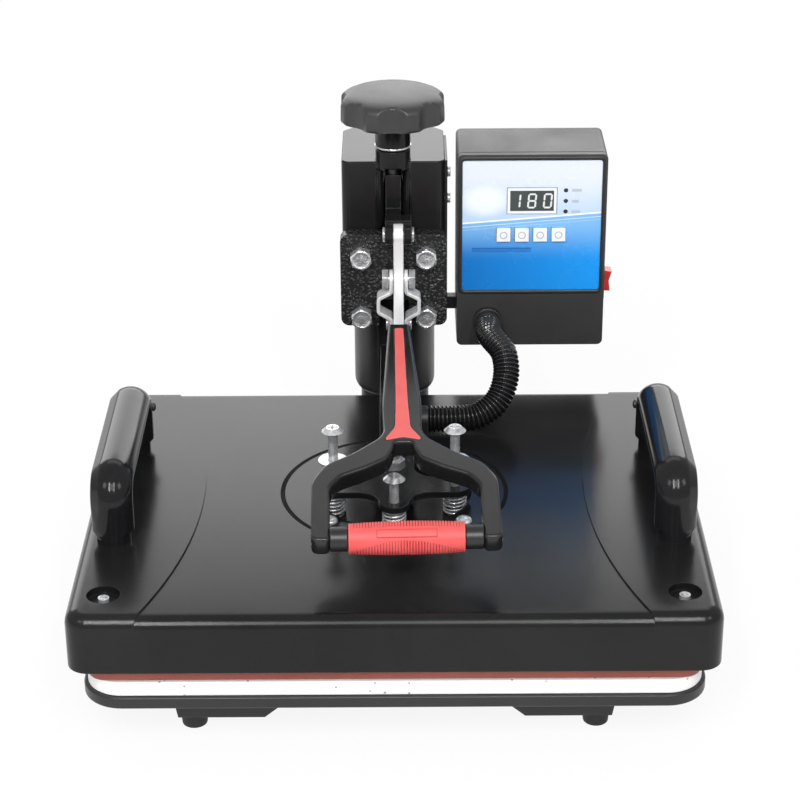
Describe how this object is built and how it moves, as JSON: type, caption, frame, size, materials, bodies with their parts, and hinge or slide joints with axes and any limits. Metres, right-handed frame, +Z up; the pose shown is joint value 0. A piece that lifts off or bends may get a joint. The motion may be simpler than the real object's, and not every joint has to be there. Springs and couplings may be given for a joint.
{
  "type": "heat press",
  "caption": "Swing-away heat press with a toggle lever, a spring-hung covered platen over a padded bed, a pressure knob and a side control box with a ribbed conduit.",
  "frame": {"origin": "on the floor, under the middle of the whole press's box", "axes": "+X to the right seen from the lever side, +Y to the back where the post stands, +Z up"},
  "size_m": [0.405, 0.4236, 0.3203],
  "materials": {
    "gloss_black": "satin to glossy black moulding",
    "black_paint": "satin black powder coat",
    "wrinkle_paint": "hammered dark paint",
    "dark_steel": "dark satin",
    "bright_steel": "brushed bright",
    "zinc": "zinc plated",
    "foot_rubber": "matte",
    "white_silicone": "matte white",
    "brown_platen": "baked coating on aluminium",
    "heater_silicone": "matte",
    "insulation_felt": "matte felt",
    "case_black": "satin moulding",
    "panel_blue": "printed film",
    "display_dark": "smoked window",
    "light_red": "clear lens",
    "board_green": "coated board",
    "relay_blue": "moulded case",
    "button_white": "satin",
    "rocker_red": "glossy",
    "knob_grey": "satin",
    "grip_red": "ribbed, matte",
    "inlay_red": "satin",
    "ferrule_black": "satin"
  },
  "bodies": {
    "base": {"base_rail_left": "black_paint", "base_rail_right": "black_paint", "rear_cross_plate": "black_paint", "rubber_feet": "foot_rubber", "post": "bright_steel", "post_screws": "dark_steel", "rail_bolts": "zinc", "lower_platen": "black_paint", "silicone_pad": "white_silicone", "stop_collar": "black_paint"},
    "head": {"swing_sleeve": "black_paint", "head_block": "black_paint", "keeper_plate": "wrinkle_paint", "keeper_bolts": "zinc", "head_screws": "zinc", "box_bracket": "black_paint", "control_case": "case_black", "control_bezel": "case_black", "panel_overlay": "panel_blue", "display_window": "display_dark", "status_lights": "light_red", "circuit_board": "board_green", "relay_block": "relay_blue", "conduit_gland": "case_black", "mains_inlet": "case_black", "switch_bezel": "case_black", "conduit": "case_black"},
    "button_a": {"button_1": "button_white"},
    "button_b": {"button_2": "button_white"},
    "button_c": {"button_3": "button_white"},
    "button_d": {"button_4": "button_white"},
    "rocker": {"power_rocker": "rocker_red"},
    "knob": {"pressure_knob": "knob_grey", "adjusting_screw": "dark_steel"},
    "adjuster": {"adjuster_clevis": "dark_steel", "upper_pin": "zinc"},
    "lever": {"lever_plate": "bright_steel", "lever_fork": "black_paint", "lever_inlay": "inlay_red", "grip_rod": "bright_steel", "grip": "grip_red", "grip_ferrules": "ferrule_black", "knee_bolt": "zinc"},
    "links": {"link_left": "bright_steel", "link_right": "bright_steel"},
    "arm": {"press_arm": "black_paint", "centre_bolt": "zinc", "lower_pin": "zinc"},
    "platen": {"cover": "gloss_black", "handle_left": "gloss_black", "handle_right": "gloss_black", "cover_screws": "zinc", "heat_platen": "brown_platen", "heater_mat": "heater_silicone", "insulation": "insulation_felt", "carrier_plate": "dark_steel", "spring_bolts": "zinc", "bolt_washers": "zinc", "float_springs": "zinc", "conduit_inlet": "case_black"}
  },
  "joints": [
    {"name": "head_swing", "type": "hinge", "parent": "base", "child": "head", "pos_m": [0, 0.16675, 0.077], "axis": [0, 0, 1], "range_deg": [-170, 170]},
    {"name": "button_a_press", "type": "slide", "parent": "head", "child": "button_a", "axis": [0, 1, 0], "range_m": [0, 0.0012], "stiffness_N_per_m": 400},
    {"name": "button_b_press", "type": "slide", "parent": "head", "child": "button_b", "axis": [0, 1, 0], "range_m": [0, 0.0012], "stiffness_N_per_m": 400},
    {"name": "button_c_press", "type": "slide", "parent": "head", "child": "button_c", "axis": [0, 1, 0], "range_m": [0, 0.0012], "stiffness_N_per_m": 400},
    {"name": "button_d_press", "type": "slide", "parent": "head", "child": "button_d", "axis": [0, 1, 0], "range_m": [0, 0.0012], "stiffness_N_per_m": 400},
    {"name": "rocker_tip", "type": "hinge", "parent": "head", "child": "rocker", "pos_m": [0.148, 0.14275, 0.1715], "axis": [0, -1, 0], "range_deg": [0, 8]},
    {"name": "knob_turn", "type": "hinge", "parent": "head", "child": "knob", "pos_m": [0, 0.12915, 0.2793], "axis": [0, 0, 1], "range_deg": [-1440.01, 0]},
    {"name": "pressure_slide", "type": "slide", "parent": "head", "child": "adjuster", "axis": [0, 0, 1], "range_m": [0, 0.005], "deforming": ["conduit"]},
    {"name": "lever_swing", "type": "hinge", "parent": "adjuster", "child": "lever", "pos_m": [0.0035, 0.09875, 0.2243], "axis": [-1, 0, 0], "range_deg": [0, 60], "deforming": ["conduit"]},
    {"name": "link_knee", "type": "hinge", "parent": "lever", "child": "links", "pos_m": [0.0035, 0.09875, 0.1903], "axis": [-1, 0, 0], "range_deg": [-120, 0]},
    {"name": "arm_level", "type": "hinge", "parent": "links", "child": "arm", "pos_m": [0.0035, 0.09875, 0.1563], "axis": [-1, 0, 0], "range_deg": [0, 60]},
    {"name": "platen_float", "type": "slide", "parent": "arm", "child": "platen", "axis": [0, 0, 1], "range_m": [0, 0.003], "stiffness_N_per_m": 9000, "deforming": ["float_springs", "conduit"]}
  ],
  "couplings": [
    {"joint": "link_knee", "follows": "lever_swing", "ratio": -2},
    {"joint": "arm_level", "follows": "lever_swing", "ratio": 1},
    {"joint": "knob_turn", "follows": "pressure_slide", "rad_per_m": -5026.5}
  ]
}
